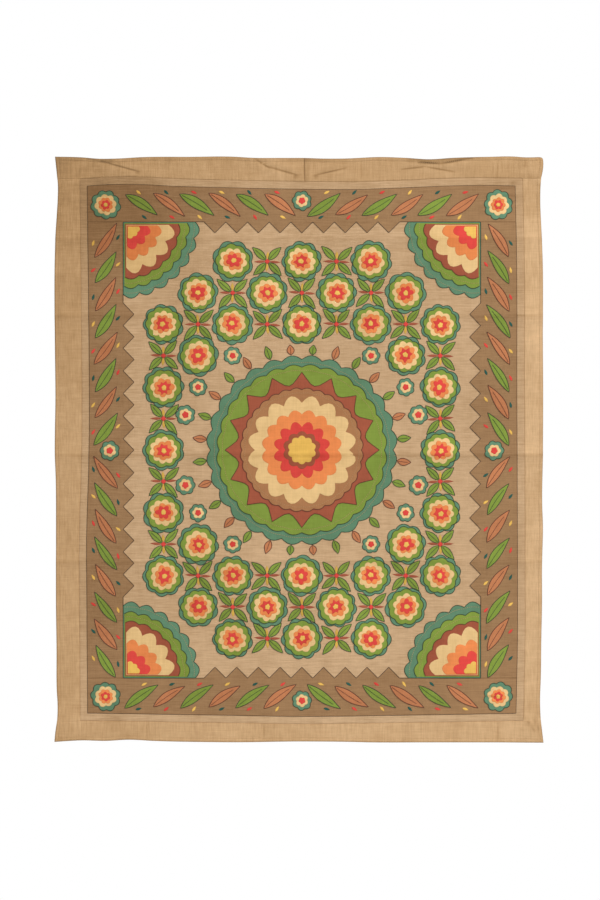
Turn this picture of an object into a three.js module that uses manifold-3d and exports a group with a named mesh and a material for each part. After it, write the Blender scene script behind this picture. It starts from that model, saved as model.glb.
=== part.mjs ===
// Applique wall hanging: a beige ground cloth in a plain border, with a toothed inner band, a round
// medallion, four quarter medallions and 34 scalloped rosettes cut from cloth and sewn on. Millimetres,
// +Z up, the front facing -Y, the origin at the middle of the top edge that it hangs from, y = 0 the wall.
import * as THREE from "three";
import { mergeVertices } from "three/addons/utils/BufferGeometryUtils.js";
import Module from "manifold-3d";

const wasm = await Module();
wasm.setup();

// Driving sizes
const HALF_WIDTH = 845;
const HEIGHT = 2030;
const GROUND_THICK = 1.2;
const BORDER_THICK = 1.6;
const PATCH_THICK = 1.0;
const SPACE = 0.3;
const TOP_STRIP_JOIN_X = 19;
const PANEL = { x: 10, z: -1017, halfWidth: 620, halfHeight: 791 };
const BAND_INSET = 26;
const TOOTH_PITCH = 76;
const TOOTH_HEIGHT = 38;
const MEDALLION_RADIUS = 330;
const CORNER_RADIUS = 265;
const CORNER_CLEARANCE = 16;
const ROSETTE_RADIUS = 72;
const ROSETTE_CLEARANCE = 10;
const ROSETTE_PITCH = { x: 240, z: 218 };
const BEYOND = 1000;

// Colours of the cloths, as sRGB hex
const CLOTH_COLOURS = {
  beige: 0xb8946a,
  border: 0xc49c6e,
  taupe: 0x9a754e,
  teal: 0x5f8263,
  rust: 0x9e5238,
  cream: 0xd9b380,
  red: 0xcc3b38,
  yellow: 0xd8a850,
};

// The cut edge of the hanging: how far each side pulls in from the straight, by place along it. The
// corners are the ends of the top and bottom edges, and the top right one is rounded.
const LEFT_EDGE = [
  { z: -55, in: 5 }, { z: -100, in: 9 }, { z: -150, in: 8 }, { z: -200, in: 5 }, { z: -260, in: 1 },
  { z: -345, in: -2 }, { z: -640, in: -2 }, { z: -830, in: 0 }, { z: -1030, in: -2 },
  { z: -1120, in: 1 }, { z: -1320, in: 2 }, { z: -1560, in: 2 }, { z: -1705, in: 4 },
  { z: -1850, in: 5 }, { z: -1900, in: 8 }, { z: -1950, in: 7 }, { z: -2000, in: 0 },
];
const RIGHT_EDGE = [
  { z: -12, in: -2 }, { z: -30, in: -2 }, { z: -55, in: 1 }, { z: -75, in: 5 }, { z: -100, in: 7 },
  { z: -150, in: 8 }, { z: -250, in: 4 }, { z: -345, in: 0 }, { z: -640, in: -1 },
  { z: -830, in: -2 }, { z: -1030, in: -1 }, { z: -1220, in: 1 }, { z: -1270, in: -1 },
  { z: -1415, in: 2 }, { z: -1560, in: 2 }, { z: -1655, in: 4 }, { z: -1800, in: 6 },
  { z: -1900, in: 9 }, { z: -1950, in: 7 }, { z: -2000, in: 1 },
];
const TOP_EDGE = [
  { x: -846, in: 0 }, { x: -755, in: 2 }, { x: -690, in: 7 }, { x: -630, in: 6 }, { x: -545, in: 1 },
  { x: -380, in: 0 }, { x: -215, in: 0 }, { x: -170, in: 3 }, { x: -45, in: 4 }, { x: 19, in: 4 },
  { x: 80, in: 6 }, { x: 160, in: 6 }, { x: 285, in: 1 }, { x: 370, in: 4 }, { x: 450, in: 9 },
  { x: 535, in: 4 }, { x: 660, in: 0 }, { x: 745, in: -1 }, { x: 785, in: 2 }, { x: 836, in: 1 },
  { x: 844, in: 4 },
];
const BOTTOM_EDGE = [
  { x: -848, in: 1 }, { x: -755, in: 6 }, { x: -670, in: 4 }, { x: -590, in: 8 }, { x: -505, in: 4 },
  { x: -340, in: 0 }, { x: -215, in: -1 }, { x: 0, in: 2 }, { x: 160, in: 1 }, { x: 245, in: -1 },
  { x: 450, in: -1 }, { x: 620, in: -1 }, { x: 848, in: -2 },
];

// The seam between the ground cloth and the border, which wanders as the cloth does
const SEAM = [
  { x: -761, z: -77 }, { x: -759, z: -255 }, { x: -756, z: -498 }, { x: -755, z: -1053 },
  { x: -763, z: -1331 }, { x: -762, z: -1539 }, { x: -759, z: -1955 }, { x: -515, z: -1959 },
  { x: -272, z: -1963 }, { x: -29, z: -1967 }, { x: 352, z: -1963 }, { x: 595, z: -1959 },
  { x: 778, z: -1956 }, { x: 784, z: -1678 }, { x: 784, z: -1400 }, { x: 782, z: -845 },
  { x: 780, z: -290 }, { x: 775, z: -75 }, { x: 630, z: -73 }, { x: 491, z: -76 }, { x: 352, z: -82 },
  { x: 213, z: -87 }, { x: 5, z: -86 }, { x: -238, z: -81 }, { x: -425, z: -76 }, { x: -550, z: -70 },
  { x: -654, z: -70 },
];

// The folds in which the cloth hangs: a soft ridge along a line, with its half width and its rise
const FOLDS = [
  { fold: "top left swag", x0: -723, z0: -10, x1: -529, z1: -57, half: 34, rise: 5 },
  { fold: "middle swag, left arm", x0: -154, z0: -8, x1: 16, z1: -68, half: 34, rise: 5 },
  { fold: "middle swag, right arm", x0: 16, z0: -68, x1: 160, z1: -41, half: 34, rise: 4 },
  { fold: "right swag", x0: 380, z0: -18, x1: 604, z1: -14, half: 34, rise: 5 },
  { fold: "top left corner", x0: -845, z0: 0, x1: -800, z1: -90, half: 70, rise: 7 },
  { fold: "top right corner", x0: 845, z0: 0, x1: 800, z1: -90, half: 70, rise: 6 },
  { fold: "bottom left corner", x0: -845, z0: -2030, x1: -800, z1: -1900, half: 80, rise: 8 },
  { fold: "bottom right corner", x0: 845, z0: -2030, x1: 800, z1: -1900, half: 80, rise: 9 },
  { fold: "left drop", x0: -330, z0: -60, x1: -360, z1: -760, half: 120, rise: 5 },
  { fold: "middle drop", x0: 285, z0: -60, x1: 300, z1: -700, half: 120, rise: 5 },
  { fold: "right drop", x0: 660, z0: -60, x1: 640, z1: -560, half: 100, rise: 4 },
  { fold: "lower left lift", x0: -420, z0: -1540, x1: -470, z1: -2010, half: 130, rise: 5 },
  { fold: "lower middle lift", x0: 120, z0: -1620, x1: 90, z1: -2020, half: 130, rise: 4 },
  { fold: "lower right lift", x0: 540, z0: -1500, x1: 590, z1: -2010, half: 120, rise: 5 },
];
// The creases left by storing it folded, across the whole width
const CREASES = [
  { z: -286, half: 30, rise: 2.0 }, { z: -553, half: 34, rise: 2.6 }, { z: -1036, half: 34, rise: 3.2 },
  { z: -1407, half: 32, rise: 2.4 },
];
// The slow waves of the whole cloth, a little off the wall
const WAVES = { rise: 1.5, lengthX: 210, lengthZ: 330 };

// The lines on which the surface is measured off, closer together over the folds
const GRID_X = [
  -880, -820, -755, -690, -610, -520, -420, -310, -210, -110, 16, 120, 200, 290, 385, 455, 530, 610,
  700, 780, 830, 880,
];
const GRID_Z = [
  40, -30, -78, -150, -240, -286, -332, -440, -510, -553, -596, -710, -850, -990, -1036, -1082, -1200,
  -1360, -1407, -1454, -1570, -1690, -1810, -1910, -1970, -2070,
];

// How far a point of the cloth stands forward of the wall
function relief(x, z) {
  let rise = WAVES.rise * (1 + Math.sin(x / WAVES.lengthX) * Math.cos(z / WAVES.lengthZ));
  for (const f of FOLDS) {
    const along = new THREE.Vector2(f.x1 - f.x0, f.z1 - f.z0);
    const from = new THREE.Vector2(x - f.x0, z - f.z0);
    const share = THREE.MathUtils.clamp(from.dot(along) / along.lengthSq(), 0, 1);
    const away = from.sub(along.multiplyScalar(share)).length();
    const taper = 0.45 + 0.55 * Math.sin(Math.PI * share);
    rise += f.rise * taper * Math.exp(-((away / f.half) ** 2));
  }
  for (const c of CREASES) rise += c.rise * Math.exp(-(((z - c.z) / c.half) ** 2));
  return rise;
}

// A closed mesh as a solid that can be cut and joined
function solidOf(geometry) {
  geometry.deleteAttribute("normal");
  geometry.deleteAttribute("uv");
  const merged = mergeVertices(geometry, 1e-3);
  return new wasm.Manifold(
    new wasm.Mesh({
      numProp: 3,
      vertProperties: merged.attributes.position.array,
      triVerts: new Uint32Array(merged.index.array),
    }),
  );
}

function geometryOf(solid) {
  const mesh = solid.getMesh();
  return new THREE.BufferGeometry()
    .setAttribute("position", new THREE.BufferAttribute(mesh.vertProperties, 3))
    .setIndex(new THREE.BufferAttribute(mesh.triVerts, 1));
}

// A layer of cloth over the whole hanging, in its folds: a grid of points in front and one behind
function clothLayer(thickness) {
  const across = GRID_X.length;
  const down = GRID_Z.length;
  const points = [];
  for (const forward of [thickness, 0])
    for (const z of GRID_Z) for (const x of GRID_X) points.push(x, -relief(x, z) - forward, z);
  const faces = [];
  const quad = (a, b, c, d) => faces.push(a, b, c, a, c, d);
  const front = (column, row) => row * across + column;
  const back = (column, row) => across * down + front(column, row);
  for (let r = 0; r < down - 1; r++) {
    for (let c = 0; c < across - 1; c++) {
      quad(front(c, r), front(c, r + 1), front(c + 1, r + 1), front(c + 1, r));
      quad(back(c, r), back(c + 1, r), back(c + 1, r + 1), back(c, r + 1));
    }
    const last = across - 1;
    quad(front(0, r), back(0, r), back(0, r + 1), front(0, r + 1));
    quad(front(last, r), front(last, r + 1), back(last, r + 1), back(last, r));
  }
  for (let c = 0; c < across - 1; c++) {
    const last = down - 1;
    quad(front(c, 0), front(c + 1, 0), back(c + 1, 0), back(c, 0));
    quad(front(c, last), back(c, last), back(c + 1, last), front(c + 1, last));
  }
  const geometry = new THREE.BufferGeometry()
    .setAttribute("position", new THREE.Float32BufferAttribute(points, 3))
    .setIndex(faces);
  return solidOf(geometry);
}

// The block that a pattern piece's outline, a list of {x, z}, sweeps from back to front
function block(outline) {
  const depth = 120;
  const shape = new THREE.Shape(outline.map((p) => new THREE.Vector2(p.x, p.z)));
  const swept = new THREE.ExtrudeGeometry(shape, { depth, bevelEnabled: false });
  swept.rotateX(Math.PI / 2).translate(0, depth / 2, 0);
  return solidOf(swept);
}

const layers = {
  ground: clothLayer(GROUND_THICK),
  border: clothLayer(BORDER_THICK),
  patch: clothLayer(PATCH_THICK),
};

const hanging = new THREE.Group();
const materials = {};
for (const [name, colour] of Object.entries(CLOTH_COLOURS))
  materials[name] = new THREE.MeshStandardMaterial({ color: colour, roughness: 0.92, metalness: 0 });

// A piece of cloth cut to a block: level 0 is the base cloth, level 1 is sewn on it, and so on
function sewOn(name, cloth, cut, level, layer = layers.patch) {
  const forward = level ? GROUND_THICK + SPACE + (level - 1) * (PATCH_THICK + SPACE) : 0;
  const piece = layer.translate([0, -forward, 0]).intersect(cut);
  const mesh = new THREE.Mesh(geometryOf(piece), materials[cloth]);
  mesh.name = name;
  hanging.add(mesh);
}

function rectangle(left, right, bottom, top) {
  return [{ x: left, z: bottom }, { x: right, z: bottom }, { x: right, z: top }, { x: left, z: top }];
}

// The whole hanging's cut edge as one loop: down the left, along the bottom, up the right, back
function outerEdge() {
  return [
    ...LEFT_EDGE.map((row) => ({ x: -HALF_WIDTH + row.in, z: row.z })),
    ...BOTTOM_EDGE.map((row) => ({ x: row.x, z: -HEIGHT + row.in })),
    ...[...RIGHT_EDGE].reverse().map((row) => ({ x: HALF_WIDTH - row.in, z: row.z })),
    ...[...TOP_EDGE].reverse().map((row) => ({ x: row.x, z: -row.in })),
  ];
}

// A loop about the panel's middle drawn in on every side by the same width
function drawnIn(loop, width) {
  const size = new THREE.Box2().setFromPoints(loop.map((p) => new THREE.Vector2(p.x, p.z)));
  const half = size.getSize(new THREE.Vector2()).divideScalar(2);
  return loop.map((p) => ({
    x: PANEL.x + (p.x - PANEL.x) * (1 - width / half.x),
    z: PANEL.z + (p.z - PANEL.z) * (1 - width / half.y),
  }));
}

// The blocks of a frame's four lengths. The top and bottom run the full width, the sides butt
// against them, and each takes in what reaches inwards from it.
function frameLengths({ left, right, bottom, top }, reach) {
  const half = SPACE / 2;
  const across = (from, to) => block(rectangle(-BEYOND, BEYOND, from, to));
  const middle = (from, to) => block(rectangle(left + reach, right - reach, from, to));
  return {
    top: across(top + half, BEYOND).add(middle(top - reach, BEYOND)),
    bottom: across(-HEIGHT - BEYOND, bottom - half).add(middle(-HEIGHT - BEYOND, bottom + reach)),
    left: block(rectangle(-BEYOND, left + reach, bottom + half, top - half)),
    right: block(rectangle(right - reach, BEYOND, bottom + half, top - half)),
  };
}

function groundCloth() {
  sewOn("ground_cloth", "beige", block(drawnIn(SEAM, SPACE)), 0, layers.ground);
}

// The border round the ground cloth, its top strip joined from two lengths
function border() {
  const ring = block(outerEdge()).subtract(block(SEAM));
  const lengths = frameLengths({ left: -740, right: 740, bottom: -1953, top: -78 }, 60);
  const half = SPACE / 2;
  const leftOfJoin = block(rectangle(-BEYOND, TOP_STRIP_JOIN_X - half, -BEYOND, BEYOND));
  const rightOfJoin = block(rectangle(TOP_STRIP_JOIN_X + half, BEYOND, -BEYOND, BEYOND));
  const strips = {
    top_left: lengths.top.intersect(leftOfJoin),
    top_right: lengths.top.intersect(rightOfJoin),
    left: lengths.left,
    right: lengths.right,
    bottom: lengths.bottom,
  };
  for (const [side, strip] of Object.entries(strips))
    sewOn("border_" + side, "border", ring.intersect(strip), 0, layers.border);
}

// Pointed teeth along an edge, pointing to the given side, from its start to its end
function teeth(start, end, side) {
  const run = new THREE.Vector2(end.x - start.x, end.z - start.z);
  const count = Math.round(run.length() / TOOTH_PITCH);
  const points = [];
  for (let i = 0; i <= count * 2; i++) {
    const share = i / (count * 2);
    const out = (i % 2) * TOOTH_HEIGHT;
    points.push({ x: start.x + run.x * share + side.x * out, z: start.z + run.y * share + side.z * out });
  }
  return points;
}

// The toothed inner band in four lengths. The teeth leave room for the quarter medallions.
function innerBand() {
  const left = PANEL.x - PANEL.halfWidth;
  const right = PANEL.x + PANEL.halfWidth;
  const bottom = PANEL.z - PANEL.halfHeight;
  const top = PANEL.z + PANEL.halfHeight;
  const clear = CORNER_RADIUS + CORNER_CLEARANCE;
  const inside = [
    { x: left, z: bottom },
    ...teeth({ x: left + clear, z: bottom }, { x: right - clear, z: bottom }, { x: 0, z: 1 }),
    { x: right, z: bottom },
    ...teeth({ x: right, z: bottom + clear }, { x: right, z: top - clear }, { x: -1, z: 0 }),
    { x: right, z: top },
    ...teeth({ x: right - clear, z: top }, { x: left + clear, z: top }, { x: 0, z: -1 }),
    { x: left, z: top },
    ...teeth({ x: left, z: top - clear }, { x: left, z: bottom + clear }, { x: 1, z: 0 }),
  ];
  const ring = block(drawnIn(SEAM, BAND_INSET)).subtract(block(inside));
  const lengths = frameLengths({ left, right, bottom, top }, TOOTH_HEIGHT + 1);
  for (const side of ["top", "bottom", "left", "right"])
    sewOn("band_" + side, "taupe", ring.intersect(lengths[side]), 1);
}

// A round piece with lobes, or a sweep of one: round lobes meet in notches, pointed ones in tips
function lobed({ x, z, radius, lobes, depth, turn = 0, pointed = false, steps = 3, sweep = 1 }) {
  const count = Math.round(lobes * steps * sweep);
  const last = sweep < 1 ? count : count - 1;
  const points = [];
  for (let i = 0; i <= last; i++) {
    const angle = (i / count) * sweep * 2 * Math.PI;
    const wave = Math.abs(Math.sin((lobes * angle) / 2));
    const reach = radius - depth * (pointed ? wave : 1 - wave);
    points.push({ x: x + reach * Math.cos(angle + turn), z: z + reach * Math.sin(angle + turn) });
  }
  return points;
}

// The round medallion, each layer sewn on the one before
function medallion() {
  const rounds = [
    { name: "base", cloth: "teal", radius: MEDALLION_RADIUS, lobes: 28, depth: 15 },
    { name: "rays", cloth: "rust", radius: 268, lobes: 16, depth: 44, pointed: true, steps: 2 },
    { name: "flower", cloth: "cream", radius: 190, lobes: 16, depth: 26 },
    { name: "petals", cloth: "red", radius: 100, lobes: 12, depth: 20 },
    { name: "eye", cloth: "yellow", radius: 50, lobes: 10, depth: 7 },
  ];
  rounds.forEach(({ name, cloth, ...shape }, i) => {
    sewOn("medallion_" + name, cloth, block(lobed({ x: PANEL.x, z: PANEL.z, ...shape })), i + 1);
  });
}

// A quarter medallion in each corner of the panel, its point in the corner, and a fan sewn on it
function corners() {
  const places = [
    { x: -1, z: 1, turn: -Math.PI / 2 }, { x: 1, z: 1, turn: Math.PI },
    { x: 1, z: -1, turn: Math.PI / 2 }, { x: -1, z: -1, turn: 0 },
  ];
  const layersOn = [
    { name: "base", cloth: "teal", inset: 0.8, radius: CORNER_RADIUS, lobes: 28, depth: 15 },
    { name: "fan", cloth: "cream", inset: 10, radius: 172, lobes: 16, depth: 24 },
  ];
  places.forEach((place, i) => {
    layersOn.forEach(({ name, cloth, inset, ...shape }, level) => {
      const point = {
        x: PANEL.x + place.x * (PANEL.halfWidth - inset),
        z: PANEL.z + place.z * (PANEL.halfHeight - inset),
      };
      const curve = lobed({ ...point, ...shape, turn: place.turn, sweep: 0.25 });
      sewOn(`corner_${name}_${i + 1}`, cloth, block([point, ...curve]), level + 1);
    });
  });
}

// The rosettes in staggered rows, where they keep clear of the medallions
function rosettes() {
  const clear = ROSETTE_RADIUS + ROSETTE_CLEARANCE;
  let made = 0;
  for (let row = -6; row <= 6; row++)
    for (let column = -4; column <= 4; column++) {
      const x = (column * ROSETTE_PITCH.x) / 2;
      const z = (-row * ROSETTE_PITCH.z) / 2;
      const toCorner = Math.hypot(PANEL.halfWidth - Math.abs(x), PANEL.halfHeight - Math.abs(z));
      const inPattern = (row + column) % 2 === 0;
      const free = Math.hypot(x, z) > MEDALLION_RADIUS + clear && toCorner > CORNER_RADIUS + clear;
      if (!inPattern || !free) continue;
      const shape = { radius: ROSETTE_RADIUS - 2 * (made % 2), lobes: 8 + (made % 3), depth: 8 };
      const outline = lobed({ x: PANEL.x + x, z: PANEL.z + z, ...shape, turn: 0.7 * made });
      made += 1;
      sewOn("rosette_" + String(made).padStart(2, "0"), "teal", block(outline), 1);
    }
}

groundCloth();
border();
innerBand();
medallion();
corners();
rosettes();

export default hanging;
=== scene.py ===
"""The looks of an applique wall hanging: pieced cloth in its hanging folds, cloth shapes sewn on it in
layers, outline stitches, hems and seams. Sizes are in millimetres until a mesh is made."""

import math

import bpy
import numpy as np
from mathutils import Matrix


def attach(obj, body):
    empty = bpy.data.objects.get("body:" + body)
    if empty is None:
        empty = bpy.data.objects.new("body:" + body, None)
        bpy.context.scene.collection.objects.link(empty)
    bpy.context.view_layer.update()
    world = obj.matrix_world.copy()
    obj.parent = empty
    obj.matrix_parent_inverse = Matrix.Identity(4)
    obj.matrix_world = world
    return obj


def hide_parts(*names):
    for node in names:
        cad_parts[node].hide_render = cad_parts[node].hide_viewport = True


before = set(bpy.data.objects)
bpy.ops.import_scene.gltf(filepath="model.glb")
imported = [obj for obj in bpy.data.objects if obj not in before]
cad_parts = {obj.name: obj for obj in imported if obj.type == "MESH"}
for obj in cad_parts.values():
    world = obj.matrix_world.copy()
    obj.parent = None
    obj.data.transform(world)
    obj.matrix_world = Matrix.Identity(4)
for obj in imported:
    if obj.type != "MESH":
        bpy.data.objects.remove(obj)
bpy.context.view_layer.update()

MM = 0.001
RANDOM = np.random.default_rng(11)

# Driving sizes, as in the part's source
HALF_WIDTH = 845
HEIGHT = 2030
GROUND_THICK = 1.2
BORDER_THICK = 1.6
TOP_STRIP_JOIN_X = 19
PANEL_X, PANEL_Z = 10, -1017
PANEL_HALF_WIDTH, PANEL_HALF_HEIGHT = 620, 791
PANEL_LEFT, PANEL_RIGHT = PANEL_X - PANEL_HALF_WIDTH, PANEL_X + PANEL_HALF_WIDTH
PANEL_BOTTOM, PANEL_TOP = PANEL_Z - PANEL_HALF_HEIGHT, PANEL_Z + PANEL_HALF_HEIGHT
PANEL_MIDDLE = np.array([PANEL_X, PANEL_Z], float)
BAND_INSET = 26
BAND_LEFT, BAND_RIGHT, BAND_BOTTOM, BAND_TOP = -731, 752, -1930, -101
TOOTH_PITCH = 76
TOOTH_HEIGHT = 38
MEDALLION_RADIUS = 330
CORNER_RADIUS = 265
CORNER_CLEARANCE = 16
TOOTHLESS = CORNER_RADIUS + CORNER_CLEARANCE
X_TEETH = (PANEL_LEFT + TOOTHLESS, PANEL_RIGHT - TOOTHLESS)
Z_TEETH = (PANEL_BOTTOM + TOOTHLESS, PANEL_TOP - TOOTHLESS)
ROSETTE_RADIUS = 72
ROSETTE_CLEARANCE = 10
ROSETTE_PITCH_X, ROSETTE_PITCH_Z = 240, 218

# Sizes of the finer cloth layers and of the stitching
PATCH_THICK = 0.6
LAYER_RISE = 0.62
PATCH_BACK = GROUND_THICK - 0.05
GRID_STEP = 9
RING_STEP = 10
THREAD_RADIUS = 1.15
STITCH_LENGTH = 5
RIB_RADIUS = 0.8
RUNNING_STITCH = {"every": 7.5, "length": 4.5, "width": 1.3}
RUNNING_ABOVE, RUNNING_BELOW = 0.45, 0.2
OUTLINE_OUTSIDE, SEAM_INSIDE = 0.6, 1.5
BACK_STITCH = {"every": 12.0, "length": 4.0, "width": 0.9, "near": 0.15, "far": -0.5}
HEM_STITCH = {
    "every": 7.0, "length": 3.6, "width": 0.9, "near": BORDER_THICK + 0.35, "far": BORDER_THICK - 0.6,
}
HEM_WIDTH = 12
CORD_SIDES = 4
PATCH_RIM = 2.0
PATCH_PUFF = 0.25

# The cut edge: how far each side pulls in from the straight, by place along it
LEFT_EDGE = [
    (0, -1), (-55, 5), (-100, 9), (-150, 8), (-200, 5), (-260, 1), (-345, -2), (-640, -2), (-830, 0),
    (-1030, -2), (-1120, 1), (-1320, 2), (-1560, 2), (-1705, 4), (-1850, 5), (-1900, 8), (-1950, 7),
    (-2000, 0), (-2030, -3),
]
RIGHT_EDGE = [
    (0, 1.5), (-3, -0.5), (-12, -2), (-30, -2), (-55, 1), (-75, 5), (-100, 7), (-150, 8), (-250, 4),
    (-345, 0), (-640, -1), (-830, -2), (-1030, -1), (-1220, 1), (-1270, -1), (-1415, 2), (-1560, 2),
    (-1655, 4), (-1800, 6), (-1900, 9), (-1950, 7), (-2000, 1), (-2030, -3),
]
TOP_EDGE = [
    (-846, 0), (-755, 2), (-690, 7), (-630, 6), (-545, 1), (-380, 0), (-215, 0), (-170, 3), (-45, 4),
    (19, 4), (80, 6), (160, 6), (285, 1), (370, 4), (450, 9), (535, 4), (660, 0), (745, -1), (785, 2),
    (812, 2), (834, 1.5), (840, 2.4), (844, 4.5),
]
BOTTOM_EDGE = [
    (-848, 1), (-755, 6), (-670, 4), (-590, 8), (-505, 4), (-340, 0), (-215, -1), (0, 2), (160, 1),
    (245, -1), (450, -1), (620, -1), (848, -2),
]

# The seams round the ground cloth: place along it, then where the seam lies
TOP_SEAM = [
    (-761, -77), (-654, -70), (-550, -70), (-425, -76), (-238, -81), (5, -86), (213, -87), (352, -82),
    (491, -76), (630, -73), (775, -75),
]
BOTTOM_SEAM = [
    (-759, -1955), (-515, -1959), (-272, -1963), (-29, -1967), (352, -1963), (595, -1959), (778, -1956),
]
LEFT_SEAM = [
    (-77, -761), (-255, -759), (-498, -756), (-1053, -755), (-1331, -763), (-1539, -762), (-1955, -759),
]
RIGHT_SEAM = [(-75, 775), (-290, 780), (-845, 782), (-1400, 784), (-1678, 784), (-1956, 778)]
GROUND_LEFT, GROUND_RIGHT = -760, 778
# In the four corners, beyond the side seams, the top and bottom seams run on straight
CORNER_LEFT, CORNER_RIGHT_ABOVE, CORNER_RIGHT_BELOW = -758, 772, 776
TOP_LEFT_CUT, TOP_RIGHT_CUT, BOTTOM_CUT = -77, -76, -1955.5
CORNER_MIDDLE, CORNER_HALF_WIDTH, CORNER_REACH = 9, 768, 14
CORNER_TOP_SEAM, CORNER_BOTTOM_SEAM = -76, -1957

# The folds in which the cloth hangs. Columns: x and z of both ends, half width, rise.
FOLDS = [
    (-723, -10, -529, -57, 34, 5),
    (-154, -8, 16, -68, 34, 5),
    (16, -68, 160, -41, 34, 4),
    (380, -18, 604, -14, 34, 5),
    (-845, 0, -800, -90, 70, 7),
    (845, 0, 800, -90, 70, 6),
    (-845, -2030, -800, -1900, 80, 8),
    (845, -2030, 800, -1900, 80, 9),
    (-330, -60, -360, -760, 120, 5),
    (285, -60, 300, -700, 120, 5),
    (660, -60, 640, -560, 100, 4),
    (-420, -1540, -470, -2010, 130, 5),
    (120, -1620, 90, -2020, 130, 4),
    (540, -1500, 590, -2010, 120, 5),
]
# The creases across the whole width. Columns: z, half width, rise.
CREASES = [(-286, 30, 2.0), (-553, 34, 2.6), (-1036, 34, 3.2), (-1407, 32, 2.4)]
WAVE_RISE, WAVE_LENGTH_X, WAVE_LENGTH_Z = 1.5, 210, 330
COCKLE_RISE, COCKLE_X, COCKLE_Z, SWAY, SWAY_X, SWAY_Z = 0.35, 27, 33, 2, 74, 61

# Fine creases and wrinkles, troughs where the rise is below nought. Columns as for the folds.
FINE_CREASES = [
    (-1600, -161, 1600, -158, 9, -0.7),
    (-1600, -286, 1600, -283, 9, 1.1),
    (-1600, -553, 1600, -551, 10, 1.6),
    (-1400, -952, 300, -955, 10, -0.7),
    (-400, -1036, 1600, -1034, 10, 1.9),
    (-1400, -1039, -250, -1036, 10, 1.0),
    (-1600, -1282, 1600, -1284, 11, -0.6),
    (-1600, -1407, 1600, -1405, 10, 1.3),
    (-200, -1688, 1500, -1690, 11, -0.7),
    (-735, -5, -620, -36, 9, -1.3),
    (-660, -26, -520, -62, 9, -1.3),
    (-160, -2, -96, -42, 10, -1.4),
    (-122, -28, 16, -71, 10, -1.6),
    (43, -67, 160, -39, 10, -1.6),
    (410, -20, 500, -25, 9, -1.4),
    (490, -25, 604, -3, 9, -1.2),
    (352, -45, 440, -33, 10, -1.3),
    (435, -33, 545, -54, 10, -1.4),
    (217, -8, 217, -80, 9, -0.9),
    (610, -98, 770, -104, 8, -0.8),
    (625, -121, 775, -128, 8, 0.8),
    (640, -150, 775, -163, 9, -0.7),
    (-757, -125, -640, -131, 8, -0.8),
    (-757, -160, -605, -166, 9, 0.7),
    (642, -1869, 706, -1874, 8, -1.3),
    (689, -1962, 690, -2026, 9, -1.1),
    (-529, -1966, -526, -2024, 9, -1.0),
    (-123, -1968, -120, -2028, 9, -1.0),
    (786, -1945, 818, -1990, 9, 1.6),
    (-790, -1950, -830, -2010, 9, -1.0),
    (-812, -300, -808, -700, 10, 0.8),
    (812, -420, 818, -980, 10, 0.9),
    (-806, -1180, -812, -1650, 10, -0.8),
    (816, -1250, 812, -1760, 10, -0.8),
    (-430, -1990, -230, -2000, 9, 0.8),
    (250, -2002, 520, -1994, 9, -0.8),
    (-500, -330, -180, -372, 13, 0.8),
    (60, -410, 420, -386, 13, -0.8),
    (-610, -820, -330, -790, 14, 0.8),
    (250, -1190, 600, -1226, 14, 0.8),
    (-560, -1570, -260, -1536, 14, -0.8),
    (80, -1740, 330, -1772, 13, 0.8),
    (-90, -230, -60, -480, 14, -0.8),
    (470, -600, 500, -900, 14, 0.7),
    (-520, -1100, -500, -1350, 14, 0.8),
]

# Lines of painted shade, darker along creases, folds, seams and the rolled top edge. Columns as for the
# folds, with the share lost for the rise.
PAINTED_SHADE_LINES = [
    (-740, -5, -672, -19, 2.6, 0.4),
    (-690, -14, -524, -60, 2.4, 0.56),
    (-156, -4, -98, -42, 2.6, 0.45),
    (-118, -31, 16, -70, 2.6, 0.52),
    (38, -68, 168, -38, 2.4, 0.5),
    (352, -44, 440, -34, 2.6, 0.45),
    (435, -34, 545, -53, 2.6, 0.45),
    (410, -19, 495, -24, 3.2, 0.6),
    (490, -24, 604, -4, 3.2, 0.6),
    (217, -8, 217, -80, 2.5, 0.2),
    (689, -1962, 690, -2026, 2.5, 0.22),
    (-529, -1966, -526, -2024, 2.5, 0.2),
    (-123, -1968, -120, -2028, 2.5, 0.2),
    (642, -1869, 706, -1874, 3, 0.35),
    (782, -1940, 820, -1996, 4, 0.2),
    (-1600, -286, 1600, -283, 6, 0.08),
    (-1600, -553, 1600, -551, 6, 0.13),
    (-1300, -1037, 1700, -1034, 6, 0.17),
    (-1600, -1407, 1600, -1405, 6, 0.09),
    (-690, -4, -640, -16, 14, 0.2),
    (380, -8, 540, -14, 12, 0.2),
    (-60, -8, 150, -10, 9, 0.14),
    (19, 10, 19, -90, 2.5, 0.4),
    (352, -9, 640, -3, 4.5, 0.34),
    (-78, -10, -78, -76, 2.5, 0.12),
    (676, -14, 672, -70, 2.5, 0.16),
    (690, -10, 688, -72, 2.5, 0.2),
    (703, -16, 706, -60, 2.5, 0.12),
    (786, -6, 783, -40, 5, 0.16),
    (806, -1938, 834, -1990, 4, 0.12),
    (690, -97, 722, -96, 3, 0.2),
    (722, -96, 764, -86, 3, 0.26),
    (655, -112, 762, -106, 4, 0.14),
    (640, -136, 770, -134, 5, 0.12),
    (610, -176, 730, -172, 4, 0.1),
    (-757, -127, -640, -133, 4, 0.1),
    (-757, -163, -605, -169, 4, 0.1),
]

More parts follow.
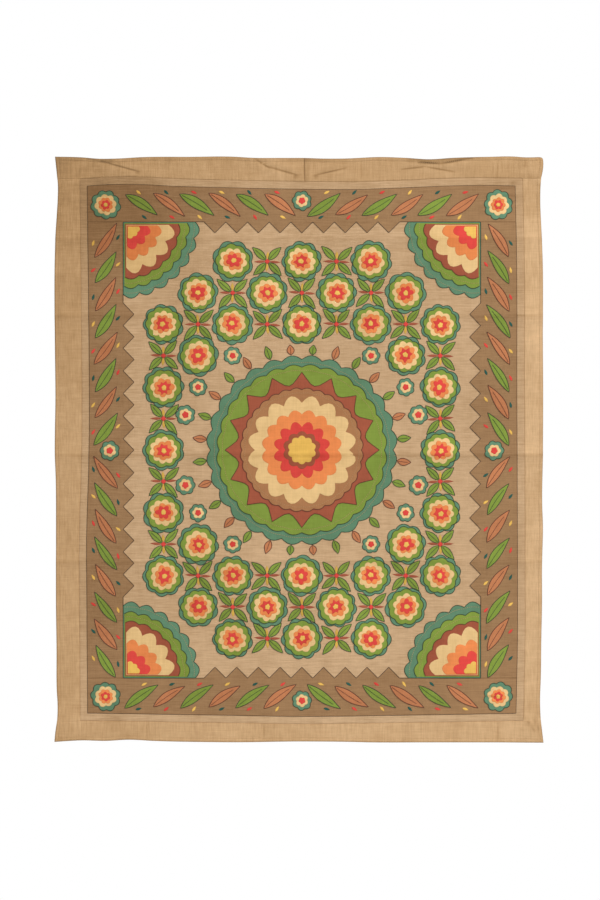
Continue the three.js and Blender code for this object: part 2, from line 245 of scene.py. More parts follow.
# Broad places where age has stained the border or, below nought, bleached it. Columns as for the folds,
# with the share lost for the rise.
BORDER_STAINS = [
    (-802, -60, -802, -300, 120, -0.05),
    (-802, -400, -802, -545, 120, 0.13),
    (-802, -500, -802, -800, 120, 0.07),
    (-802, -1400, -802, -1700, 120, -0.06),
    (-802, -1700, -802, -1960, 120, 0.08),
    (812, -60, 812, -215, 120, 0.15),
    (812, -530, 812, -780, 120, -0.05),
    (812, -1050, 812, -1280, 120, 0.08),
    (812, -1320, 812, -1560, 120, -0.04),
    (812, -1830, 812, -1960, 120, 0.1),
    (-800, -40, -460, -40, 60, -0.2),
    (-310, -40, -130, -40, 60, 0.07),
    (-50, -40, 30, -40, 60, 0.1),
    (560, -40, 660, -40, 60, 0.07),
    (-325, -1993, -130, -1993, 60, -0.09),
    (25, -1993, 280, -1993, 60, -0.08),
    (420, -1993, 620, -1993, 60, 0.05),
    (690, -1993, 815, -1993, 60, -0.11),
]

# Edges of a cloth from outside inwards. Columns: inset, change of its front, change of its back, tone. The
# tone is painted shade: darker in the seams, at the hem's rolled edge and along its stitch line, with a
# touch of painted light on top of the hem's roll.
TUCKED = [(-4, -1.7, -1.2, 0.85), (-0.5, -1.4, -1.2, 0.85), (1, -0.5, -0.4, 0.93), (3, 0, 0, 1)]
TURNED = [(0, -1.2, 0.1, 0.8), (0.9, -0.5, 0, 0.88), (3, 0, 0, 0.98), (5, 0.1, 0, 1)]
HEMMED = [
    (0, -0.9, 0.3, 0.52), (1, 0.5, -0.1, 0.68), (3.5, 0.9, -0.3, 0.95), (8.5, 0.8, -0.3, 1.01),
    (11, 0.1, -0.1, 0.99), (HEM_WIDTH, -0.3, 0, 0.94), (13.5, -0.1, 0, 0.99), (16, 0, 0, 1),
]
SEWN_DOWN = [(0, -0.42, 0.05, 0.6), (0.8, -0.12, 0, 0.8), (2.4, 0, 0, 1)]


def less_shaded(profile, share):
    """The same edge with only a share of its painted shade."""
    return [(inset, front, back, 1 - (1 - tone) * share) for inset, front, back, tone in profile]


# Less painted shade at the top seams and at the right strip's inner seam.
TOP_TURNED, TOP_TUCKED, RIGHT_TURNED = less_shaded(TURNED, 0.4), less_shaded(TUCKED, 0.4), less_shaded(TURNED, 0.7)

# Colours of the cloths and threads, as 8-bit sRGB
COLOURS = {
    "ground": (197, 163, 125), "border": (208, 171, 128), "taupe": (151, 116, 80), "teal": (94, 132, 103),
    "dark_teal": (38, 84, 74), "leaf_green": (124, 144, 58), "rust": (156, 82, 58),
    "terracotta": (184, 118, 78), "tan": (166, 116, 76), "cream": (224, 187, 130),
    "orange": (224, 132, 74), "red": (212, 68, 60), "yellow": (226, 180, 88), "ochre": (202, 162, 72),
    "green_thread": (40, 62, 44), "rust_thread": (92, 44, 30), "brown_thread": (84, 64, 42),
    "pale_thread": (176, 142, 100), "border_thread": (190, 154, 110),
}


# Materials

def linear(name):
    """A named colour as linear RGBA: the sRGB curve undone on each channel."""
    share = np.array(COLOURS[name]) / 255
    low = share / 12.92
    high = ((share + 0.055) / 1.055) ** 2.4
    return (*np.where(share <= 0.04045, low, high).tolist(), 1.0)


def new_group(name, inputs, outputs):
    """A shader node group with named sockets: inputs are (name, type, value), outputs (name, type)."""
    group = bpy.data.node_groups.new(name, "ShaderNodeTree")
    for label, kind, value in inputs:
        group.interface.new_socket(label, in_out="INPUT", socket_type=kind).default_value = value
    for label, kind in outputs:
        group.interface.new_socket(label, in_out="OUTPUT", socket_type=kind)
    return group, group.nodes.new("NodeGroupInput"), group.nodes.new("NodeGroupOutput")


def node(tree, kind, links=(), **settings):
    """A node with its settings, and its inputs linked or set: links are (input, socket or value)."""
    made = tree.nodes.new(kind)
    for key, value in settings.items():
        setattr(made, key, value)
    for key, source in links:
        if isinstance(source, bpy.types.NodeSocket):
            tree.links.new(source, made.inputs[key])
        else:
            made.inputs[key].default_value = source
    return made


def math_node(tree, operation, *values, clamp=False):
    """The result of a Math node on values or sockets."""
    made = node(tree, "ShaderNodeMath", enumerate(values), operation=operation, use_clamp=clamp)
    return made.outputs[0]


def times(tree, first, second):
    """The product of two values or sockets."""
    return math_node(tree, "MULTIPLY", first, second)


def plus(tree, first, second):
    """The sum of two values or sockets."""
    return math_node(tree, "ADD", first, second)


def weave_group():
    """Plain weave: two crossed sets of sine ridges for the yarns, and for the slubs noise stretched
    along the height and along the width, in shares. Height is the surface, Shade how light it is."""
    group, given, out = new_group(
        "Plain weave",
        [("Yarn Scale", "NodeSocketFloat", 330.0), ("Width Share", "NodeSocketFloat", 0.5)],
        [("Height", "NodeSocketFloat"), ("Shade", "NodeSocketFloat")],
    )
    place, scale = node(group, "ShaderNodeTexCoord").outputs["Object"], given.outputs["Yarn Scale"]
    yarns = []
    for direction in ("X", "Z"):
        wave = node(
            group,
            "ShaderNodeTexWave",
            [("Vector", place), ("Scale", scale), ("Distortion", 1.5), ("Detail", 1.0)],
            wave_type="BANDS",
            bands_direction=direction,
        )
        yarns.append(wave.outputs["Fac"])
    yarn = math_node(group, "MAXIMUM", *yarns)
    slubs = []
    for stretch in ((240.0, 40.0, 17.0), (15.0, 40.0, 260.0)):
        stretched = node(group, "ShaderNodeVectorMath", [(0, place), (1, stretch)], operation="MULTIPLY")
        noise = node(
            group,
            "ShaderNodeTexNoise",
            [("Vector", stretched.outputs[0]), ("Scale", 1.0), ("Detail", 3.0), ("Roughness", 0.62)],
        )
        slubs.append(math_node(group, "SUBTRACT", noise.outputs["Fac"], 0.5))
    width_share = given.outputs["Width Share"]
    across = times(group, slubs[1], width_share)
    down = times(group, slubs[0], math_node(group, "SUBTRACT", 1.0, width_share))
    slub_share, yarn_share = 2.0, 0.4
    shade = times(group, plus(group, across, down), slub_share)
    height = plus(group, times(group, yarn, yarn_share), shade)
    group.links.new(height, out.inputs["Height"])
    group.links.new(shade, out.inputs["Shade"])
    return group


def age_and_shade_group():
    """The colour is lighter to the right, darker in a bell round the top left corner, cloudy, and
    streaked by the weave, all times the tone attribute: the piece's own tone and painted shade at
    edges, creases, folds and stitches. Where that is low the colour turns browner, painted shade too."""
    group, given, out = new_group(
        "Cloth age and painted shade",
        [
            ("Color", "NodeSocketColor", (0.8, 0.8, 0.8, 1.0)),
            ("Shade", "NodeSocketFloat", 0.0),
            ("Streaks", "NodeSocketFloat", 0.3),
            ("Clouds", "NodeSocketFloat", 0.3),
        ],
        [("Color", "NodeSocketColor")],
    )
    lighter_a_metre, dark_corner, reach, darker, browning = 0.08, (-0.86, 0.0, 0.02), 0.41, 0.31, 2.6
    place = node(group, "ShaderNodeTexCoord").outputs["Object"]
    axes = node(group, "ShaderNodeSeparateXYZ", [(0, place)])
    rightward = math_node(group, "MULTIPLY_ADD", axes.outputs["X"], lighter_a_metre, 1.0)
    away = node(group, "ShaderNodeVectorMath", [(0, place), (1, dark_corner)], operation="DISTANCE")
    bell = math_node(group, "POWER", math_node(group, "DIVIDE", away.outputs["Value"], reach), 2.0)
    corner = times(group, math_node(group, "EXPONENT", times(group, bell, -1.0)), -darker)
    varied = plus(group, rightward, corner)
    for scale, share in ((3.0, 0.8), (28.0, 0.5)):
        noise = node(
            group,
            "ShaderNodeTexNoise",
            [("Vector", place), ("Scale", scale), ("Detail", 4.0), ("Roughness", 0.6)],
        )
        cloudy = times(group, math_node(group, "SUBTRACT", noise.outputs["Fac"], 0.5), share)
        varied = plus(group, varied, times(group, cloudy, given.outputs["Clouds"]))
    streaky = times(group, given.outputs["Shade"], given.outputs["Streaks"])
    tone = node(group, "ShaderNodeAttribute", attribute_name="tone").outputs["Fac"]
    factor = times(group, plus(group, varied, streaky), tone)
    scaled = node(group, "ShaderNodeVectorMath", [(0, given.outputs["Color"])], operation="SCALE")
    group.links.new(factor, scaled.inputs["Scale"])
    lost = math_node(group, "SUBTRACT", 1.0, factor)
    by_share = [("Factor", math_node(group, "MULTIPLY", lost, browning, clamp=True))]
    browner = node(group, "ShaderNodeMix", by_share, data_type="RGBA", blend_type="MULTIPLY")
    colours = [socket for socket in browner.inputs if socket.type == "RGBA"]
    group.links.new(scaled.outputs[0], colours[0])
    colours[1].default_value = (1.0, 0.90, 0.74, 1.0)
    group.links.new([s for s in browner.outputs if s.type == "RGBA"][0], out.inputs["Color"])
    return group


WEAVE = weave_group()
AGE_AND_SHADE = age_and_shade_group()


def aged_material(name, streaks, clouds, roughness, sheen, specular):
    """A material in the named colour under the age and shade group, with its tree, that group and its
    shader.
    """
    material = bpy.data.materials.new(name)
    material.use_nodes = True
    tree = material.node_tree
    shader = tree.nodes["Principled BSDF"]
    looks = [("Color", linear(name)), ("Streaks", streaks), ("Clouds", clouds)]
    age = node(tree, "ShaderNodeGroup", looks, node_tree=AGE_AND_SHADE)
    tree.links.new(age.outputs["Color"], shader.inputs["Base Color"])
    shader.inputs["Roughness"].default_value = roughness
    shader.inputs["Sheen Weight"].default_value = sheen
    shader.inputs["Sheen Roughness"].default_value = 0.5
    shader.inputs["Specular IOR Level"].default_value = specular
    return material, tree, age, shader


def cloth_material(name, width_share=0.5, streaks=0.22, clouds=0.5, bump=0.3, yarn_scale=330.0):
    """Matt cotton: the weave's height as bump, the aged colour, and a little fibre sheen."""
    material, tree, age, shader = aged_material(name, streaks, clouds, 0.9, 0.06, 0.2)
    scales = [("Yarn Scale", yarn_scale), ("Width Share", width_share)]
    weave = node(tree, "ShaderNodeGroup", scales, node_tree=WEAVE)
    tree.links.new(weave.outputs["Shade"], age.inputs["Shade"])
    raised = [("Height", weave.outputs["Height"]), ("Strength", bump), ("Distance", 0.0006)]
    surface = node(tree, "ShaderNodeBump", raised)
    tree.links.new(surface.outputs["Normal"], shader.inputs["Normal"])
    return material


def thread_material(name):
    """Embroidery thread: its colour under the stitch tone, which holds painted shade where stitches meet,
    with a soft shine.
    """
    return aged_material(name, 0.0, 0.3, 0.7, 0.1, 0.3)[0]


MATERIALS = {
    "ground": cloth_material("ground", 0.8, 0.4, 0.5, 0.5),
    "border": cloth_material("border", 0.38, 0.36, 0.55, 0.55, 260.0),
    "taupe": cloth_material("taupe", 0.75, 0.4, 0.45, 0.4),
}
for colour in COLOURS:
    if colour not in MATERIALS:
        MATERIALS[colour] = (thread_material if "thread" in colour else cloth_material)(colour)


# The surface of the hanging cloth

def smooth(rows, at):
    """The value at a place on a smooth line through a table's rows: between two rows it is the cubic
    whose slope at each row is the mean slope beside it."""
    places, values = np.array(sorted(rows), float).T
    slopes = np.gradient(values, places)
    i = np.clip(np.searchsorted(places, at) - 1, 0, len(places) - 2)
    span = places[i + 1] - places[i]
    t = np.clip((at - places[i]) / span, 0, 1)
    start = (2 * t**3 - 3 * t**2 + 1) * values[i] + (t**3 - 2 * t**2 + t) * span * slopes[i]
    end = (3 * t**2 - 2 * t**3) * values[i + 1] + (t**3 - t**2) * span * slopes[i + 1]
    return start + end


def ridges(x, z, table, at_ends=0.45, power=1.0):
    """The sum of soft ridges: each rises as a bell curve of the distance from its line, and along the
    line it tapers as a power of a sine to the given share of its rise at the ends."""
    total = np.zeros(np.broadcast(x, z).shape)
    for x0, z0, x1, z1, half, rise in table:
        run_x, run_z = x1 - x0, z1 - z0
        share = np.clip(((x - x0) * run_x + (z - z0) * run_z) / (run_x**2 + run_z**2), 0, 1)
        away = np.hypot(x - x0 - share * run_x, z - z0 - share * run_z)
        taper = at_ends + (1 - at_ends) * np.sin(np.pi * share) ** power
        total += rise * taper * np.exp(-((away / half) ** 2))
    return total


def relief(x, z):
    """How far the cloth stands forward of the wall: slow waves, folds, creases across the whole width,
    fine creases, and a small cockle of crossed sine waves."""
    rise = WAVE_RISE * (1 + np.sin(x / WAVE_LENGTH_X) * np.cos(z / WAVE_LENGTH_Z))
    rise = rise + ridges(x, z, FOLDS) + ridges(x, z, FINE_CREASES, at_ends=0.1, power=0.6)
    for at, half, height in CREASES:
        rise = rise + height * np.exp(-(((z - at) / half) ** 2))
    sway_x, sway_z = SWAY * np.sin(z / SWAY_Z), SWAY * np.sin(x / SWAY_X)
    return rise + COCKLE_RISE * (np.sin(x / COCKLE_X + sway_x) * np.sin(z / COCKLE_Z + sway_z))


def shade_and_stain_tone(x, z, table=PAINTED_SHADE_LINES):
    """What is left of the tone along a table's lines or places: painted shade along creases, folds and
    seams by default, real stains with the border's table.
    """
    return 1 - ridges(x, z, table, at_ends=0.0, power=0.5)


def border_age(x, z):
    """What is left of the border's tone in its stained and bleached places."""
    return shade_and_stain_tone(x, z, BORDER_STAINS)


def falloff_inwards(inwards, lost, reach):
    """What is left of a tone: the share lost falls off exponentially inwards."""
    return 1 - lost * np.exp(-inwards / reach)


def ground_falloff(x, z):
    """What is left of the ground cloth's tone: less towards its top and its two sides."""
    sides = falloff_inwards(x - GROUND_LEFT, 0.05, 320) * falloff_inwards(GROUND_RIGHT - x, 0.11, 500)
    return falloff_inwards(-z, 0.14, 350) * sides


def edge_shade_share(x, z):
    """How strongly the edges' painted shade shows: one, but little at the short seams in the four corners.
    """
    beside = np.abs(x - CORNER_MIDDLE) > CORNER_HALF_WIDTH
    at_seam = np.minimum(np.abs(z - CORNER_TOP_SEAM), np.abs(z - CORNER_BOTTOM_SEAM)) < CORNER_REACH
    return np.where(beside & at_seam, 0.05, 1.0)


def placed(x, z, forward):
    """Points on the cloth: forward millimetres in front of its back."""
    x, z, forward = np.broadcast_arrays(x, z, forward)
    return np.stack([x, -(relief(x, z) + forward), z], axis=-1)


# Meshes from arrays

def shape(points, quads, triangles=None, tone=1.0):
    """A shape's points, faces and tones, as arrays."""
    points = points.reshape(-1, 3)
    if triangles is None:
        triangles = np.zeros((0, 3), int)
    return {
        "points": points,
        "quads": quads.reshape(-1, 4),
        "triangles": triangles.reshape(-1, 3),
        "tone": np.broadcast_to(np.asarray(tone, float).ravel(), len(points)),
    }


def joined(shapes):
    """Several shapes in one: their arrays end to end, with each one's faces counted on."""
    starts = np.cumsum([0] + [len(s["points"]) for s in shapes[:-1]])
    return {
        "points": np.concatenate([s["points"] for s in shapes]),
        "quads": np.concatenate([s["quads"] + n for s, n in zip(shapes, starts)]),
        "triangles": np.concatenate([s["triangles"] + n for s, n in zip(shapes, starts)]),
        "tone": np.concatenate([s["tone"] for s in shapes]),
    }


def piece(name, shapes, material, node_name=None):
    """One object of the given shapes, riding on the root, in place of a CAD node where one is named."""
    whole = joined(shapes)
    mesh = bpy.data.meshes.new(name)
    mesh.from_pydata(
        (whole["points"] * MM).tolist(), [], whole["quads"].tolist() + whole["triangles"].tolist()
    )
    mesh.polygons.foreach_set("use_smooth", np.ones(len(mesh.polygons), bool))
    tone = mesh.attributes.new("tone", "FLOAT", "POINT")
    tone.data.foreach_set("value", whole["tone"].astype(np.float32))
    mesh.materials.append(MATERIALS[material])
    mesh.update()
    made = bpy.data.objects.new(name, mesh)
    bpy.context.scene.collection.objects.link(made)
    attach(made, "root")
    if node_name:
        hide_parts(node_name)
    return made


def slab(front, back, tone=1.0):
    """A closed cloth from two grids of points: the front, the back turned round, and a rim of faces
    that joins their edges."""
    rows, columns = front.shape[:2]
    i = np.arange(rows * columns).reshape(rows, columns)
    faces = np.stack([i[:-1, :-1], i[:-1, 1:], i[1:, 1:], i[1:, :-1]], axis=-1).reshape(-1, 4)
    loop = np.concatenate([i[0], i[1:, -1], i[-1, -2::-1], i[-2:0:-1, 0]])
    ahead = np.roll(loop, -1)
    rim = np.stack([ahead, loop, loop + i.size, ahead + i.size], axis=-1)
    quads = np.concatenate([faces, faces[:, ::-1] + i.size, rim])
    return shape(np.concatenate([front.reshape(-1, 3), back.reshape(-1, 3)]), quads, tone=tone)


def capped(rings, first, last, tone=1.0):
    """A closed skin round a row of rings, from a point in front of the first to one behind the last."""
    count, around = rings.shape[:2]
    i = np.arange(count * around).reshape(count, around)
    ahead = np.roll(i, -1, axis=1)
    quads = np.stack([i[:-1], i[1:], ahead[1:], ahead[:-1]], axis=-1)
    start = np.stack([np.full(around, i.size), i[0], ahead[0]], axis=-1)
    end = np.stack([np.full(around, i.size + 1), ahead[-1], i[-1]], axis=-1)
    points = np.concatenate([rings.reshape(-1, 3), first.reshape(1, 3), last.reshape(1, 3)])
    return shape(points, quads, np.concatenate([start, end]), tone)


# Outlines in the plane of the cloth, anticlockwise seen from the front

def paired(x, z):
    """Two rows of numbers as one row of points."""
    return np.stack([x, z], axis=1)


def pointing(angle):
    """The unit vector at an angle."""
    return np.array([math.cos(angle), math.sin(angle)])


def tangents(path, closed):
    """Unit directions along a path, from the point before to the point after."""
    if closed:
        step = np.roll(path, -1, axis=0) - np.roll(path, 1, axis=0)
    else:
        step = np.gradient(path, axis=0)
    return step / np.maximum(np.linalg.norm(step, axis=1, keepdims=True), 1e-9)


def outward(path, closed=True):
    """The direction to the right of the path, which is outwards on an anticlockwise outline."""
    along = tangents(path, closed)
    return paired(along[:, 1], -along[:, 0])


def evenly(path, step, closed):
    """The same line with points an even step apart along it."""
    line = np.concatenate([path, path[:1]]) if closed else path
    run = np.concatenate([[0], np.cumsum(np.linalg.norm(np.diff(line, axis=0), axis=1))])
    count = max(3, int(round(run[-1] / step)))
    at = np.linspace(0, run[-1], count + 1)
    if closed:
        at = at[:-1]
    return paired(np.interp(at, run, line[:, 0]), np.interp(at, run, line[:, 1]))


def waver(angles, amount):
    """A hand-cut edge: one plus three slow sine waves round it, with seeded phases."""
    total = np.ones_like(angles)
    for cycles in (2, 3, 5):
        total = total + amount / cycles * 2 * np.sin(cycles * angles + RANDOM.uniform(0, 2 * np.pi))
    return total


def lobed(middle, radius, lobes, depth, turn=0.0, pointed=False, uneven=0.0, steps=8):
    """A round piece with lobes: its reach is the radius less depth times (1 - |sin|) of half the lobe
    angle, or less depth times |sin| where the lobes are pointed."""
    angles = np.arange(lobes * steps) / (lobes * steps) * 2 * np.pi
    wave = np.abs(np.sin(lobes * angles / 2))
    reach = (radius - depth * (wave if pointed else 1 - wave)) * waver(angles, uneven)
    way = paired(np.cos(angles + turn), np.sin(angles + turn))
    return np.asarray(middle, float) + reach[:, None] * way


def leaf(base, angle, length, width, bend=0.0, points=10):
    """A leaf from its base: half its width times the sine of pi times the share of its length to the
    power 0.85 lies on each side of a midrib that bends as a parabola."""
    share = np.linspace(0, 1, points + 1)
    half = width / 2 * np.sin(np.pi * share**0.85)
    rib = bend * 4 * share * (1 - share)
    along, across = np.concatenate([
        paired(share * length, rib - half),
        paired(share * length, rib + half)[-2:0:-1],
    ]).T
    cos, sin = pointing(angle)
    return np.asarray(base, float) + paired(along * cos - across * sin, along * sin + across * cos)


# Cloth cut and sewn

def lines_across(first, last, start, stop, stops):
    """The lines of a sheet in one direction: their nominal places, insets, and changes of the front and
    the back, with an edge profile at each end and plain lines at the stops between."""
    first, last = np.array(first, float), np.array(last, float)[::-1]
    inner = np.zeros_like(stops)
    place = np.concatenate([np.full(len(first), start), stops, np.full(len(last), stop)])
    inset = np.concatenate([first[:, 0], inner, -last[:, 0]])
    front = np.concatenate([first[:, 1], inner, last[:, 1]])
    back = np.concatenate([first[:, 2], inner, last[:, 2]])
    tone = np.concatenate([first[:, 3], inner + 1, last[:, 3]])
    return place, inset, front, back, tone


def both_ways(across, down):
    """Two edges' changes in one: the lower of the falls and the higher of the rises."""
    falls = np.minimum(np.minimum(across[None, :], down[:, None]), 0)
    return falls + np.maximum(np.maximum(across[None, :], down[:, None]), 0)


def sheet_shape(
    x_stops, z_stops, left, right, bottom, top, edges, back_at, thick, tone=1.0, reach=None, age=None
):
    """A cloth between four lines. The grid is straight at first. Then each side moves to its line and
    takes the grid along, by a share that falls evenly to nought within the reach, or at the far side.
    edges are the left, right, bottom and top profiles; the first and last stops are the nominal sides.
    age gives what is left of the tone at each place."""
    x0, x1, z0, z1 = x_stops[0], x_stops[-1], z_stops[0], z_stops[-1]
    columns = lines_across(edges[0], edges[1], x0, x1, x_stops[1:-1])
    rows = lines_across(edges[2], edges[3], z0, z1, z_stops[1:-1])
    reach = reach or (x1 - x0)
    by_left = np.clip(1 - (columns[0] - x0) / reach, 0, 1)[None, :]
    by_right = np.clip(1 - (x1 - columns[0]) / reach, 0, 1)[None, :]
    share_z = ((rows[0] - z0) / (z1 - z0))[:, None]
    left_x, right_x = left(rows[0] + rows[1])[:, None], right(rows[0] + rows[1])[:, None]
    x = columns[0] + by_left * (left_x - x0) + by_right * (right_x - x1) + columns[1]
    bottom_z, top_z = bottom(x), top(x)
    z = bottom_z + share_z * (top_z - bottom_z) + rows[1][:, None]
    shade_share = edge_shade_share(x, z)
    change = both_ways(columns[2], rows[2])
    flatter = (shade_share < 1) & (change > -1.5)
    change = np.where(flatter, change / 4, change)
    front = placed(x, z, back_at + thick + change)
    back = placed(x, z, back_at + both_ways(columns[3], rows[3]))
    # The edges' tones are painted shade, nearly gone at the short corner seams.
    edge_tone = np.minimum(columns[4][None, :], rows[4][:, None]) ** shade_share
    # The piece's own tone times painted shade at its edges and along creases, folds and seams.
    tones = tone * edge_tone * shade_and_stain_tone(x, z)
    if age:
        tones = tones * age(x, z)
    return slab(front, back, np.concatenate([tones.ravel(), tones.ravel()]))


def stops(start, stop, clear, step=GRID_STEP):
    """Places from start to stop, the first and last inner ones clear of the edge profiles."""
    low, high = start + clear, stop - clear
    count = max(1, int(round((high - low) / step)))
    return np.concatenate([[start], np.linspace(low, high, count + 1), [stop]])


def patch(outline, middle, level, tone=1.0, step=RING_STEP):
    """A cloth shape sewn down by its turned edge. Rings at even shares of the way from the middle to the
    outline, less the rim, roll over the edge and go back under. The front is fuller in the middle by the
    puff, which falls off with the share to the power 4. level counts the layers from the ground cloth."""
    middle = np.asarray(middle, float)
    reach = np.linalg.norm(outline - middle, axis=1, keepdims=True)
    away = (outline - middle) / reach * np.minimum(1, reach / 4 / PATCH_RIM)
    count = max(2, int(math.ceil(reach.max() / step)))
    shares = np.arange(1, count + 1) / count
    inner = outline - away * PATCH_RIM
    flat = middle + (inner - middle)[None] * shares[:, None, None]
    front_height = PATCH_THICK + PATCH_PUFF * (1 - shares**4)
    # The rolled rim's tones are painted shade on the edge that turns under.
    rolled, rim_shade = [0.72 * PATCH_THICK, 0.3 * PATCH_THICK, 0], [0.88, 0.72, 0.72]
    rings = np.concatenate([flat, [outline - away * 0.3 * PATCH_RIM, outline, inner], flat[-2::-1]])
    heights = np.concatenate([front_height, rolled, 0 * shares[:-1]])
    base = PATCH_BACK + (level - 1) * LAYER_RISE
    skin = placed(rings[..., 0], rings[..., 1], base + heights[:, None])
    front_pole = placed(*middle, base + PATCH_THICK + PATCH_PUFF)
    back_pole = placed(*middle, base)
    rim_shade_tones = np.concatenate([np.ones(count), rim_shade, np.ones(count - 1)])
    # Painted shade along the creases, folds and seams runs over the patches too.
    tones = tone * rim_shade_tones[:, None] * shade_and_stain_tone(rings[..., 0], rings[..., 1])
    return capped(skin, front_pole, back_pole, np.append(tones, [tone, tone]))


def cord(path, level, closed, radius):
    """A line of stem stitches: a four-sided tube along the path, thick and thin by turns, each stitch
    leaning a little to one side. Its tone is painted shade where two stitches meet, and a little
    painted light on the middle of each stitch."""
    sides, lean, thinner, at_ends, above, lightest, darker = CORD_SIDES, 0.25, 0.32, 0.3, 0.55, 1.05, 0.35
    line = evenly(path, STITCH_LENGTH / 2, closed)
    if closed and len(line) % 2:
        line = evenly(path, STITCH_LENGTH / 2 * len(line) / (len(line) + 1), closed)
    thin = np.arange(len(line)) % 2
    beside = outward(line, closed)
    line = line + beside * (lean - 2 * lean * thin)[:, None]
    thickness = radius * (1.0 - thinner * thin)
    if not closed:
        from_start = np.arange(len(line))
        thickness = thickness * np.minimum(1, np.minimum(from_start, from_start[::-1]) + at_ends)
    around = np.arange(sides) / sides * 2 * np.pi
    side = (thickness[:, None] * np.cos(around))[..., None] * beside[:, None, :]
    x, z = line[:, None, 0] + side[..., 0], line[:, None, 1] + side[..., 1]
    lift = relief(line[:, 0], line[:, 1])[:, None] + GROUND_THICK + (level - 1) * LAYER_RISE
    y = -(lift + above * radius + thickness[:, None] * np.sin(around))
    points = np.stack([x, y, z], axis=-1)
    i = np.arange(len(line) * sides).reshape(len(line), sides)
    if closed:
        i = np.concatenate([i, i[:1]])
    ahead = np.roll(i, -1, axis=1)
    quads = np.stack([i[:-1], i[1:], ahead[1:], ahead[:-1]], axis=-1)
    # Painted shade on the thin parts where stitches meet, a little painted light on the thick ones.
    tone = np.repeat(lightest - darker * thin, sides)
    if closed:
        return shape(points, quads, tone=tone)
    ends = (i[0], i[-1, ::-1])
    fans = [np.stack([np.full(sides - 2, end[0]), end[1:-1], end[2:]], axis=-1) for end in ends]
    return shape(points, quads, np.concatenate(fans)[:, ::-1], tone)


def dashes(paths, every, length, width, near, far):
    """Short straight stitches: a box every so far along each path, in the direction of the path, from
    one depth in the cloth to another. Each path comes with whether it closes."""
    lines = [evenly(path, every, closed) for path, closed in paths]
    along = np.concatenate([tangents(line, closed) for line, (_, closed) in zip(lines, paths)])
    line = np.concatenate(lines)
    beside = paired(along[:, 1], -along[:, 0])
    ends = np.array([-1, 1, 1, -1, -1, 1, 1, -1]) * length / 2
    sides = np.array([-1, -1, 1, 1, -1, -1, 1, 1]) * width / 2
    flat = line[:, None] + ends[:, None] * along[:, None] + sides[:, None] * beside[:, None]
    depths = np.array([far, far, far, far, near, near, near, near])
    points = placed(flat[..., 0], flat[..., 1], depths)
    box = np.array([[0, 1, 2, 3], [4, 7, 6, 5], [0, 4, 5, 1], [1, 5, 6, 2], [2, 6, 7, 3], [3, 7, 4, 0]])
    quads = box[None] + 8 * np.arange(len(line))[:, None, None]
    return shape(points, quads)


def tone_of_piece(spread=0.06):
    """A piece's own tone, near one: cloths of one colour differ a little."""
    return 1 + RANDOM.uniform(-spread, spread)


# The base cloths

def side_line(rows, start=0, sign=1):
    """A side of a sheet: a start plus or minus the smooth line through a table's rows."""
    return lambda at: start + sign * smooth(rows, at)


left_edge, right_edge = side_line(LEFT_EDGE, -HALF_WIDTH), side_line(RIGHT_EDGE, HALF_WIDTH, -1)
bottom_edge, top_edge = side_line(BOTTOM_EDGE, -HEIGHT), side_line(TOP_EDGE, 0, -1)
left_seam, right_seam = side_line(LEFT_SEAM), side_line(RIGHT_SEAM)
bottom_seam, top_seam = side_line(BOTTOM_SEAM), side_line(TOP_SEAM)
band_left, band_right = side_line(LEFT_SEAM, BAND_INSET), side_line(RIGHT_SEAM, -BAND_INSET)
band_bottom, band_top = side_line(BOTTOM_SEAM, BAND_INSET), side_line(TOP_SEAM, -BAND_INSET)


def level_line(value):
    """A straight line at one value, for a side of a sheet."""
    return lambda at: np.full(np.shape(at), float(value))


def ground_cloth():
    """The ground cloth, tucked behind the border on all four sides."""
    shapes = [sheet_shape(
        stops(GROUND_LEFT, GROUND_RIGHT, 8), stops(-1956, -76, 8), left_seam, right_seam, bottom_seam,
        top_seam, [TUCKED, TUCKED, TUCKED, TOP_TUCKED], 0, GROUND_THICK, age=ground_falloff,
    )]
    return piece("cloth_ground", shapes, "ground", "ground_cloth")


